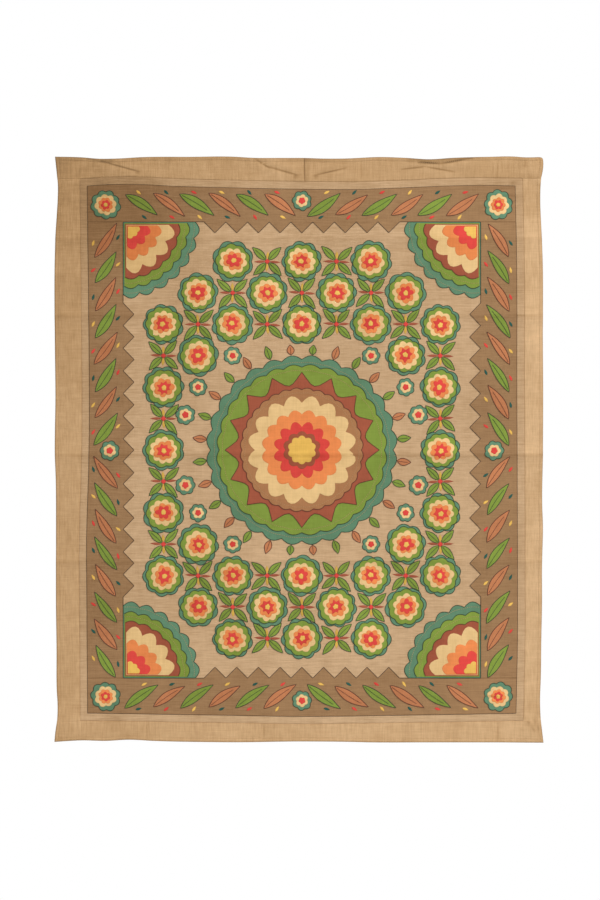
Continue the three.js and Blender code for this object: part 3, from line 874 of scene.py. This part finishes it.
def border_strips():
    """The five border strips, each with its own tone. The side strips tuck behind the top and bottom
    ones. Each row has the stops both ways, the four sides, their edge profiles and the tone."""
    join, clear, fine = TOP_STRIP_JOIN_X, 22, 3
    at_join, bottom_cut = level_line(join), level_line(BOTTOM_CUT)
    top_stops, side_clear, side_step = stops(-77, 0, clear, fine), 10, 6

    def upper(x):
        """The top seam, and straight on in the corners."""
        in_corners = np.where(x < CORNER_LEFT, TOP_LEFT_CUT, TOP_RIGHT_CUT)
        return np.where((x < CORNER_LEFT) | (x > CORNER_RIGHT_ABOVE), in_corners, top_seam(x))

    def lower(x):
        """The bottom seam, and straight on in the corners."""
        return np.where((x < CORNER_LEFT) | (x > CORNER_RIGHT_BELOW), BOTTOM_CUT, bottom_seam(x))

    strips = {
        "top_left": (
            stops(-846, join, clear, fine), top_stops, left_edge, at_join, upper, top_edge,
            [HEMMED, TURNED, TOP_TURNED, HEMMED], 0.84,
        ),
        "top_right": (
            stops(join, 843, clear, fine), top_stops, at_join, right_edge, upper, top_edge,
            [TUCKED, HEMMED, TOP_TURNED, HEMMED], 0.775,
        ),
        "left": (
            stops(-845, -759, clear, fine), stops(-1955, -78, side_clear, side_step), left_edge, left_seam,
            bottom_cut, level_line(TOP_LEFT_CUT), [HEMMED, TURNED, TUCKED, TUCKED], 0.9,
        ),
        "right": (
            stops(780, 845, clear, fine), stops(-1955, -76, side_clear, side_step), right_seam, right_edge,
            bottom_cut, level_line(TOP_RIGHT_CUT), [RIGHT_TURNED, HEMMED, TUCKED, TUCKED], 0.94,
        ),
        "bottom": (
            stops(-848, 848, clear, fine), stops(-2030, -1957, clear, fine), left_edge, right_edge,
            bottom_edge, lower, [HEMMED, HEMMED, HEMMED, TURNED], 0.87,
        ),
    }
    made = []
    for side, (*given, tone) in strips.items():
        shapes = [sheet_shape(*given, 0, BORDER_THICK, tone, age=border_age)]
        made.append(piece("cloth_border_" + side, shapes, "border", "border_" + side))
    return made


def tooth(at, start, stop):
    """How far a toothed edge stands out: a triangle wave between start and stop, and nothing beyond."""
    count = round((stop - start) / TOOTH_PITCH)
    share = (at - start) / (stop - start) * count
    wave = 1 - np.abs(2 * (share % 1) - 1)
    return TOOTH_HEIGHT * np.where((share >= 0) & (share <= count), wave, 0)


def tooth_stops(start, stop, low, high, a_tooth=8):
    """Places along a toothed band, so many to a tooth, with one on each tip and each root."""
    count = round((high - low) / TOOTH_PITCH)
    teeth = np.linspace(low, high, count * a_tooth + 1)
    before = stops(start, low, 5, TOOTH_PITCH / a_tooth)[:-1]
    after = stops(high, stop, 5, TOOTH_PITCH / a_tooth)[1:]
    return np.concatenate([before, teeth, after])


def toothed_line(start, teeth, sign):
    """A side of the band's inner edge: a start plus or minus its teeth."""
    return lambda at: start + sign * tooth(at, *teeth)


teeth_left, teeth_right = toothed_line(PANEL_LEFT, Z_TEETH, 1), toothed_line(PANEL_RIGHT, Z_TEETH, -1)
teeth_bottom, teeth_top = toothed_line(PANEL_BOTTOM, X_TEETH, 1), toothed_line(PANEL_TOP, X_TEETH, -1)


def inner_band():
    """The toothed band's four lengths, sewn on the ground cloth. The sides of the top and bottom ones
    take along only what lies within their reach."""
    clear, fine, near_sides = 5, 4.5, 150
    x_stops = tooth_stops(BAND_LEFT, BAND_RIGHT, *X_TEETH, 16)
    z_stops = tooth_stops(PANEL_BOTTOM, PANEL_TOP, *Z_TEETH)
    above, below = stops(PANEL_TOP, BAND_TOP, clear, fine), stops(BAND_BOTTOM, PANEL_BOTTOM, clear, fine)
    to_left, to_right = stops(BAND_LEFT, PANEL_LEFT, clear), stops(PANEL_RIGHT, BAND_RIGHT, clear)
    ends = (level_line(PANEL_BOTTOM), level_line(PANEL_TOP))
    lengths = {
        "top": (x_stops, above, band_left, band_right, teeth_top, band_top, near_sides),
        "bottom": (x_stops, below, band_left, band_right, band_bottom, teeth_bottom, near_sides),
        "left": (to_left, z_stops, band_left, teeth_left, *ends, None),
        "right": (to_right, z_stops, teeth_right, band_right, *ends, None),
    }
    made = []
    for side, (*given, reach) in lengths.items():
        edges, tone = [SEWN_DOWN] * 4, tone_of_piece(0.03)
        shapes = [sheet_shape(*given, edges, PATCH_BACK, PATCH_THICK, tone, reach)]
        made.append(piece("cloth_band_" + side, shapes, "taupe", "band_" + side))
    return made


def closed_loop(*lines):
    """Lines of points end to end, each less its last point, with which the next one begins."""
    return np.concatenate([line[:-1] for line in lines])


def panel_outline():
    """The inner edge of the toothed band as one anticlockwise loop."""
    x = tooth_stops(PANEL_LEFT, PANEL_RIGHT, *X_TEETH)
    z = tooth_stops(PANEL_BOTTOM, PANEL_TOP, *Z_TEETH)
    below, above = paired(x, teeth_bottom(x)), paired(x, teeth_top(x))
    to_right, to_left = paired(teeth_right(z), z), paired(teeth_left(z), z)
    return closed_loop(below, to_right, above[::-1], to_left[::-1])


def band_outline():
    """The outer edge of the toothed band as one anticlockwise loop: the seams drawn in by its inset."""
    z = np.linspace(BAND_BOTTOM, BAND_TOP, 190)
    left, right = paired(band_left(z), z), paired(band_right(z), z)
    x_below = np.linspace(left[0, 0], right[0, 0], 160)
    x_above = np.linspace(right[-1, 0], left[-1, 0], 160)
    below, above = paired(x_below, band_bottom(x_below)), paired(x_above, band_top(x_above))
    return closed_loop(below, right, above, left[::-1])


def hem_lines():
    """The four lines of the hem's stitches, as far in from the cut edge as the hem is wide."""
    x, z = np.linspace(-826, 826, 240), np.linspace(-2010, -18, 280)
    return [
        paired(x, top_edge(x) - HEM_WIDTH),
        paired(x, bottom_edge(x) + HEM_WIDTH),
        paired(left_edge(z) + HEM_WIDTH, z),
        paired(right_edge(z) - HEM_WIDTH, z),
    ]


# The sewn-on design. Each maker adds its shapes under a colour, and the outlines that get stitched.

shapes_by_name = {}
outlines = {}
running = {}
behind = {}


def stitch_along(thread, name, path, level, closed, radius=THREAD_RADIUS):
    """Adds a path to the stitching in a thread, with leaves apart from the rest."""
    group = "leaves" if "leaves" in name else "rounds"
    outlines.setdefault((thread, group), []).append((path, level, closed, radius))


def sew(name, outline, middle, level, thread=None, stitched=None, **looks):
    """Adds a patch to the shapes of that name, and its outline to the stitching, or only the given
    stretch of it, as the first and last point."""
    shapes_by_name.setdefault(name, []).append(patch(outline, middle, level, tone_of_piece(), **looks))
    beside = outward(outline)
    first, last = stitched or (0, len(outline))
    if thread:
        path = (outline + beside * OUTLINE_OUTSIDE)[first:last]
        stitch_along(thread, name, path, level, stitched is None)
    seam = (outline - beside * SEAM_INSIDE)[first:last]
    behind.setdefault(thread or "pale_thread", []).append((seam, stitched is None))


def sew_leaf(name, base, angle, length, width, level, thread=None, bend=0.0, points=10, **looks):
    """A sewn leaf and, where it has a thread, a line of stitches along the parabola of its midrib."""
    way = pointing(angle)
    beside = np.array([-way[1], way[0]])
    middle = base + way * length / 2 + beside * bend
    sew(name, leaf(base, angle, length, width, bend, points), middle, level, thread, **looks)
    if thread:
        share = np.linspace(0.06, 0.8, 12)[:, None]
        rib = base + way * share * length + beside * bend * 4 * share * (1 - share)
        stitch_along(thread, name, rib, level + 1.4, False, RIB_RADIUS)


def medallion():
    """The round medallion. Columns: name, radius, lobes, depth, pointed, thread."""
    rounds = [
        ("medallion_base", MEDALLION_RADIUS, 28, 15, False, "green_thread"),
        ("medallion_leaf_ring", 296, 28, 10, False, "green_thread"),
        ("medallion_rays", 268, 16, 44, True, "rust_thread"),
        ("medallion_tan_ring", 214, 32, 7, False, "rust_thread"),
        ("medallion_flower", 190, 16, 26, False, None),
        ("medallion_orange_ring", 140, 16, 16, False, None),
        ("medallion_petals", 100, 12, 20, False, None),
        ("medallion_hub", 66, 10, 9, False, None),
        ("medallion_eye", 50, 10, 7, False, None),
    ]
    for level, (name, radius, lobes, depth, pointed, thread) in enumerate(rounds, 1):
        outline = lobed(PANEL_MIDDLE, radius, lobes, depth, pointed=pointed, steps=6, uneven=0.004)
        sew(name, outline, PANEL_MIDDLE, level, thread)
    for level, radius in ((1, 305), (2, 277), (4, 199)):
        running.setdefault(level, []).append((lobed(PANEL_MIDDLE, radius, 28, 2), True))


def quarter(corner, towards, inset, radius, lobes, depth):
    """A quarter round: its lobed arc between the two sides of the corner, then down one side to the
    point and up the other. Also gives how many of its points the arc has, and where that begins."""
    point, leg_step, a_lobe = corner + towards * inset, 14, 6
    angles = np.linspace(0, np.pi / 2, a_lobe * lobes // 4 + 1)
    reach = radius - depth * (1 - np.abs(np.sin(lobes * angles / 2)))
    arc = reach[:, None] * paired(np.cos(angles), np.sin(angles))
    legs = int(radius / leg_step)
    down = np.linspace(arc[-1], [0, 0], legs + 1)[1:]
    along = np.linspace([0, 0], arc[0], legs + 1)[1:-1]
    outline = np.concatenate([arc, down, along]) * towards
    if towards[0] * towards[1] > 0:
        return point + outline, (0, len(arc))
    return point + outline[::-1], (len(outline) - len(arc), len(outline))


def corners():
    """The quarter medallions. Columns: name, inset, radius, lobes, depth, thread."""
    layers = [
        ("corner_base", 0.8, CORNER_RADIUS, 28, 15, "green_thread"),
        ("corner_leaf_ring", 4, 228, 28, 10, "green_thread"),
        ("corner_tan_ring", 7, 192, 24, 8, "rust_thread"),
        ("corner_fan", 10, 172, 16, 24, None),
        ("corner_orange_fan", 12, 124, 16, 16, None),
        ("corner_red_fan", 14, 84, 12, 14, None),
        ("corner_eye", 16, 44, 12, 5, None),
    ]
    places, share_to_middle = [(-1, 1), (1, 1), (1, -1), (-1, -1)], 0.4
    for i, (side, end) in enumerate(places, 1):
        corner = np.array([PANEL_X + side * PANEL_HALF_WIDTH, PANEL_Z + end * PANEL_HALF_HEIGHT])
        towards = np.array([-side, -end], float)
        for level, (name, inset, radius, lobes, depth, thread) in enumerate(layers, 1):
            outline, arc = quarter(corner, towards, inset, radius, lobes, depth)
            middle = corner + towards * (inset + share_to_middle * radius)
            replaced = f"{name}_{i}" if name in ("corner_base", "corner_fan") else name
            sew(replaced, outline, middle, level, thread, None if level == 1 else arc)
        for level, radius in ((1, 240), (2, 206)):
            outline, arc = quarter(corner, towards, 8, radius, 28, 2)
            running.setdefault(level, []).append((outline[arc[0]:arc[1]], False))


def pattern_sites():
    """The sites of the staggered pattern as offsets from the panel's middle: where a rosette goes, and
    the sites between."""
    clear = ROSETTE_RADIUS + ROSETTE_CLEARANCE
    clear_of_medallion, clear_of_corner = 70, 50
    rosettes, between = [], []
    for row in range(-6, 7):
        for column in range(-4, 5):
            x, z = column * ROSETTE_PITCH_X / 2, -row * ROSETTE_PITCH_Z / 2
            to_corner = math.hypot(PANEL_HALF_WIDTH - abs(x), PANEL_HALF_HEIGHT - abs(z))
            out = math.hypot(x, z)
            if (row + column) % 2:
                off_medallion = out > MEDALLION_RADIUS + clear_of_medallion
                if off_medallion and to_corner > CORNER_RADIUS + clear_of_corner:
                    between.append((x, z))
            elif out > MEDALLION_RADIUS + clear and to_corner > CORNER_RADIUS + clear:
                rosettes.append((x, z))
    return rosettes, between


def rosettes(sites):
    """The rosettes: a scalloped base, then four smaller layers cut by hand and so a little uneven."""
    for i, (x, z) in enumerate(sites):
        middle = PANEL_MIDDLE + np.array([x, z])
        lobes, turn = 8 + i % 3, 0.7 * i
        base = lobed(middle, ROSETTE_RADIUS - 2 * (i % 2), lobes, 8, turn, uneven=0.006)
        sew(f"rosette_{i + 1:02d}", base, middle, 1, "green_thread")
        nudge = RANDOM.uniform(-1.6, 1.6, 2)
        layers = [
            ("rosette_greens", 61, 9 + i % 2, 6, 0.015, False),
            ("rosette_creams", 48, 8 + (i + 1) % 3, 8, 0.03, False),
            ("rosette_oranges", 35, 7 + i % 2, 7, 0.06, False),
            ("rosette_reds", 26, 6 + i % 3, 8, 0.08, i % 3 > 0),
            ("rosette_yellows", 9.5, 5, 1.6, 0.08, False),
        ]
        for level, (name, radius, count, depth, uneven, pointed) in enumerate(layers, 2):
            size = radius * RANDOM.uniform(0.97, 1.03)
            spin = RANDOM.uniform(0, 2 * np.pi)
            spot = middle + nudge * (level - 1) / 2
            outline = lobed(spot, size, count, depth, spin, pointed, uneven, 6)
            thread = "green_thread" if name == "rosette_greens" else None
            sew(name, outline, spot, level, thread, step=12)


def flower(middle, rounds, lowest, full_turn, uneven, **looks):
    """Round layers sewn one on another, each turned by chance. Columns: name, radius, lobes, depth,
    thread."""
    for level, (name, radius, lobes, depth, thread) in enumerate(rounds, lowest):
        turn = RANDOM.uniform(0, full_turn)
        outline = lobed(middle, radius, lobes, depth, turn, uneven=uneven, steps=6)
        sew(name, outline, middle, level, thread, **looks)


def bud(middle, radius, lowest=1):
    """A small round flower: a cream and a red layer on a teal base."""
    rounds = [
        ("bud_bases", radius, 7, radius * 0.16, "green_thread"),
        ("bud_creams", radius * 0.66, 6, radius * 0.12, None),
        ("bud_reds", radius * 0.36, 5, radius * 0.07, None),
    ]
    flower(middle, rounds, lowest, 2 * np.pi, 0.02, step=12)


def between_rosettes(sites):
    """A sprig on each site between the rosettes, or a small flower where the medallion is near, and four
    more flowers beside the medallion."""
    sprig_clearance, near_radius, beside_radius = 110, 31, 34
    beside_x, beside_z = 404, 122
    for x, z in sites:
        spot = PANEL_MIDDLE + np.array([x, z])
        if math.hypot(x, z) > MEDALLION_RADIUS + sprig_clearance:
            sprig(spot)
        else:
            bud(spot, near_radius)
    for side in (-1, 1):
        for end in (-1, 1):
            bud(PANEL_MIDDLE + np.array([side * beside_x, end * beside_z]), beside_radius)


def sprig(middle):
    """Four leaves along the diagonals, two stems sideways, two pods up and down, and a red dot."""
    from_middle = 7
    for k in range(4):
        angle = math.pi / 4 + k * math.pi / 2 + RANDOM.uniform(-0.08, 0.08)
        bend = RANDOM.uniform(-2, 2)
        size = RANDOM.uniform(60, 67)
        base = middle + pointing(angle) * from_middle
        sew_leaf("sprig_leaves", base, angle, size, 24, 1, "green_thread", bend, step=12)
        straight = k * math.pi / 2 + RANDOM.uniform(-0.1, 0.1)
        name, long, wide = (("sprig_stems", 40, 9), ("sprig_pods", 28, 11))[k % 2]
        base = middle + pointing(straight) * from_middle
        sew_leaf(name, base, straight, long, wide, 1, points=8, step=12)
    dot = lobed(middle, 8.5, 5, 1.2, RANDOM.uniform(0, 6), steps=5)
    sew("sprig_dots", dot, middle, 2, None, step=12)


def leaf_ring():
    """Leaves round the medallion, one at each notch, by turns green and terracotta. They are shorter
    above and below it, where rosettes are near."""
    count, short, long, off_edge = 28, 34, 48, 2.5
    for i in range(count):
        angle = (i + 0.5) / count * 2 * math.pi
        way = pointing(angle)
        room = short if abs(way[1]) > 0.97 else long
        start = PANEL_MIDDLE + way * (MEDALLION_RADIUS + off_edge)
        name, thread = (("ring_leaves", "green_thread"), ("ring_petals", "rust_thread"))[i % 2]
        sew_leaf(name, start, angle, room, 24, 1, thread, RANDOM.uniform(-2, 2), step=12)


def band_run(start, stop, slant, long=136, wide=33, pitch=92, middle_room=56):
    """Long slanted leaves along a band from start to stop, by turns green and terracotta, with small
    petals between their tips. Their slant turns over in the middle, where a flower lies."""
    petal_long, petal_wide, petal_out, petal_on = 23, 9, 43, 10
    flower_radius, flower_off = 34, 14
    start, stop = np.array(start, float), np.array(stop, float)
    length = np.linalg.norm(stop - start)
    along = (stop - start) / length
    beside = np.array([-along[1], along[0]])
    heading = math.atan2(along[1], along[0])
    pairs = int((length - middle_room) // (2 * pitch))
    for i in range(2 * pairs):
        side = 1 if i < pairs else -1
        spot = (start + stop) / 2 + along * ((i + 0.5 - pairs) * (length - middle_room) / 2 / pairs)
        spot = spot - along * side * middle_room / 2
        angle = heading + side * slant + RANDOM.uniform(-0.05, 0.05)
        size = long * RANDOM.uniform(0.94, 1.04)
        name, thread = (("band_leaves", "green_thread"), ("band_streaks", "rust_thread"))[i % 2]
        width = wide * RANDOM.uniform(0.88, 1.08)
        base = spot - pointing(angle) * size / 2
        sew_leaf(name, base, angle, size, width, 2, thread, 4 * side, 14)
        for edge in (-1, 1):
            place = spot + beside * edge * petal_out
            place = place + along * edge * side * math.copysign(petal_on, slant)
            tilt = angle + RANDOM.uniform(-0.4, 0.4)
            name = ("band_reds", "band_yellows", "band_dark_bits")[(i + edge) % 3]
            base = place - petal_long / 2 * pointing(tilt)
            sew_leaf(name, base, tilt, petal_long, petal_wide, 2, points=7, step=12)
    bud((start + stop) / 2 - beside * math.copysign(flower_off, slant), flower_radius, 2)


def band_design():
    """The leaves of the four bands, and a flower where two bands meet."""
    lower, corner_room = 3, 76
    left, right = (BAND_LEFT + PANEL_LEFT) / 2, (BAND_RIGHT + PANEL_RIGHT) / 2
    top, bottom = (BAND_TOP + PANEL_TOP) / 2 - lower, (BAND_BOTTOM + PANEL_BOTTOM) / 2 - lower
    slant = math.radians(34)
    band_run((left, bottom + corner_room), (left, top - corner_room), slant)
    band_run((right, bottom + corner_room), (right, top - corner_room), -slant)
    band_run((left + corner_room, top), (right - corner_room, top), -slant)
    band_run((left + corner_room, bottom), (right - corner_room, bottom), slant)
    rounds = [
        ("bud_bases", 51, 9, 7, "green_thread"),
        ("bud_creams", 38, 8, 6, None),
        ("bud_oranges", 26, 8, 4.5, None),
        ("bud_reds", 17, 6, 4, None),
        ("bud_eyes", 7.5, 5, 1, None),
    ]
    for spot in ((left, top), (right, top), (right, bottom), (left, bottom)):
        flower(np.array(spot, float), rounds, 2, 6, 0.03)


# The names that are cut from each cloth
CUT_FROM = {
    "teal": ("medallion_base", "corner_base", "rosette", "bud_bases"),
    "dark_teal": ("band_dark_bits",),
    "leaf_green": (
        "medallion_leaf_ring", "corner_leaf_ring", "rosette_greens", "sprig_leaves", "ring_leaves",
        "band_leaves",
    ),
    "rust": ("medallion_rays", "medallion_hub", "corner_tan_ring", "sprig_stems"),
    "tan": ("medallion_tan_ring",),
    "terracotta": ("ring_petals", "band_streaks"),
    "cream": ("medallion_flower", "corner_fan", "rosette_creams", "bud_creams"),
    "orange": ("medallion_orange_ring", "corner_orange_fan", "rosette_oranges", "bud_oranges"),
    "red": ("medallion_petals", "corner_red_fan", "rosette_reds", "bud_reds", "sprig_dots", "band_reds"),
    "yellow": ("medallion_eye", "corner_eye", "rosette_yellows", "bud_eyes", "band_yellows"),
    "ochre": ("sprig_pods",),
}
CLOTH_OF = {name: cloth for cloth, names in CUT_FROM.items() for name in names}


def sewn_pieces():
    """One object for each name, in place of the CAD node of that name where there is one."""
    made = []
    for name, shapes in shapes_by_name.items():
        cloth = CLOTH_OF[name.rstrip("0123456789").rstrip("_")]
        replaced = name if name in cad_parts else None
        made.append(piece("sewn_" + name, shapes, cloth, replaced))
    return made


def stitching():
    """The outline stitches in three threads, the running stitches on the rings, and those behind."""
    stitch_along("brown_thread", "band", panel_outline(), 1, True)
    stitch_along("brown_thread", "band", band_outline(), 1, True, RIB_RADIUS)
    made = []
    for (thread, group), paths in outlines.items():
        cords = [cord(*given) for given in paths]
        made.append(piece(f"stitches_{group}_{thread}", cords, thread))
    in_front = []
    for level, paths in running.items():
        top = PATCH_BACK + PATCH_THICK + (level - 1) * LAYER_RISE
        in_front.append(dashes(paths, near=top + RUNNING_ABOVE, far=top - RUNNING_BELOW, **RUNNING_STITCH))
    made.append(piece("stitches_running", in_front, "pale_thread"))
    for thread, paths in behind.items():
        seams = [dashes(paths, **BACK_STITCH)]
        made.append(piece("stitches_behind_" + thread, seams, thread))
    hem = [dashes([(line, False) for line in hem_lines()], **HEM_STITCH)]
    made.append(piece("stitches_hem", hem, "border_thread"))
    return made


# The studio

def studio():
    """The camera square to the cloth, two soft lights at its sides, a white surround and a floor."""
    scene = bpy.context.scene
    camera = bpy.data.objects.new("camera", bpy.data.cameras.new("camera"))
    distance, frame_height, sensor, aim_x, aim_z = 9.0, 3.123, 36.0, 0.0035, -1.017
    camera.data.sensor_width = sensor
    camera.data.lens = sensor * distance / frame_height
    camera.location = (aim_x, -distance, aim_z)
    camera.rotation_euler = (math.radians(90), 0, 0)
    camera.data.clip_end = 100
    scene.collection.objects.link(camera)
    scene.camera = camera

    # Columns: name, place, power, size
    lamps = [
        ("key", (7.0, -5.0, 5.2), 1010, 3.0),
        ("fill", (-7.0, -7.0, 1.0), 390, 4.0),
        ("back", (1.0, 8.0, 3.0), 450, 4.0),
    ]
    for name, place, power, size in lamps:
        data = bpy.data.lights.new(name, "AREA")
        data.energy, data.size = power, size
        lamp = bpy.data.objects.new(name, data)
        lamp.location = place
        aim = np.array([0, 0, -1.0]) - np.array(place)
        tilt, turn = math.acos(-aim[2] / np.linalg.norm(aim)), math.atan2(aim[1], aim[0]) - math.pi / 2
        lamp.rotation_euler = (tilt, 0, turn)
        scene.collection.objects.link(lamp)

    world = bpy.data.worlds.new("surround")
    world.use_nodes = True
    tree = world.node_tree
    background = tree.nodes["Background"]
    background.inputs["Color"].default_value = (1, 1, 1, 1)
    lit, more_when_seen = 0.32, 0.68
    seen = node(tree, "ShaderNodeLightPath").outputs["Is Camera Ray"]
    strength = math_node(tree, "MULTIPLY_ADD", seen, more_when_seen, lit)
    tree.links.new(strength, background.inputs["Strength"])
    scene.world = world
    scene.view_settings.view_transform = "Standard"

    mesh = bpy.data.meshes.new("floor")
    half, drop = 2.0, -3.0
    sides = ((-half, -half), (half, -half), (half, half), (-half, half))
    mesh.from_pydata([(*side, drop) for side in sides], [], [(0, 1, 2, 3)])
    floor = bpy.data.objects.new("floor", mesh)
    paint = bpy.data.materials.new("floor_paint")
    paint.use_nodes = True
    shader = paint.node_tree.nodes["Principled BSDF"]
    shader.inputs["Base Color"].default_value = (0.8, 0.8, 0.79, 1)
    shader.inputs["Roughness"].default_value = 0.9
    mesh.materials.append(paint)
    scene.collection.objects.link(floor)


def main():
    """The studio, the cloths, the design on them in the order of its random draws, and the stitches."""
    studio()
    ground = ground_cloth()
    strips = border_strips()
    bands = inner_band()
    medallion()
    corners()
    rosette_sites, sites_between = pattern_sites()
    rosettes(rosette_sites)
    between_rosettes(sites_between)
    leaf_ring()
    band_design()
    sewn = sewn_pieces()
    stitches = stitching()


main()
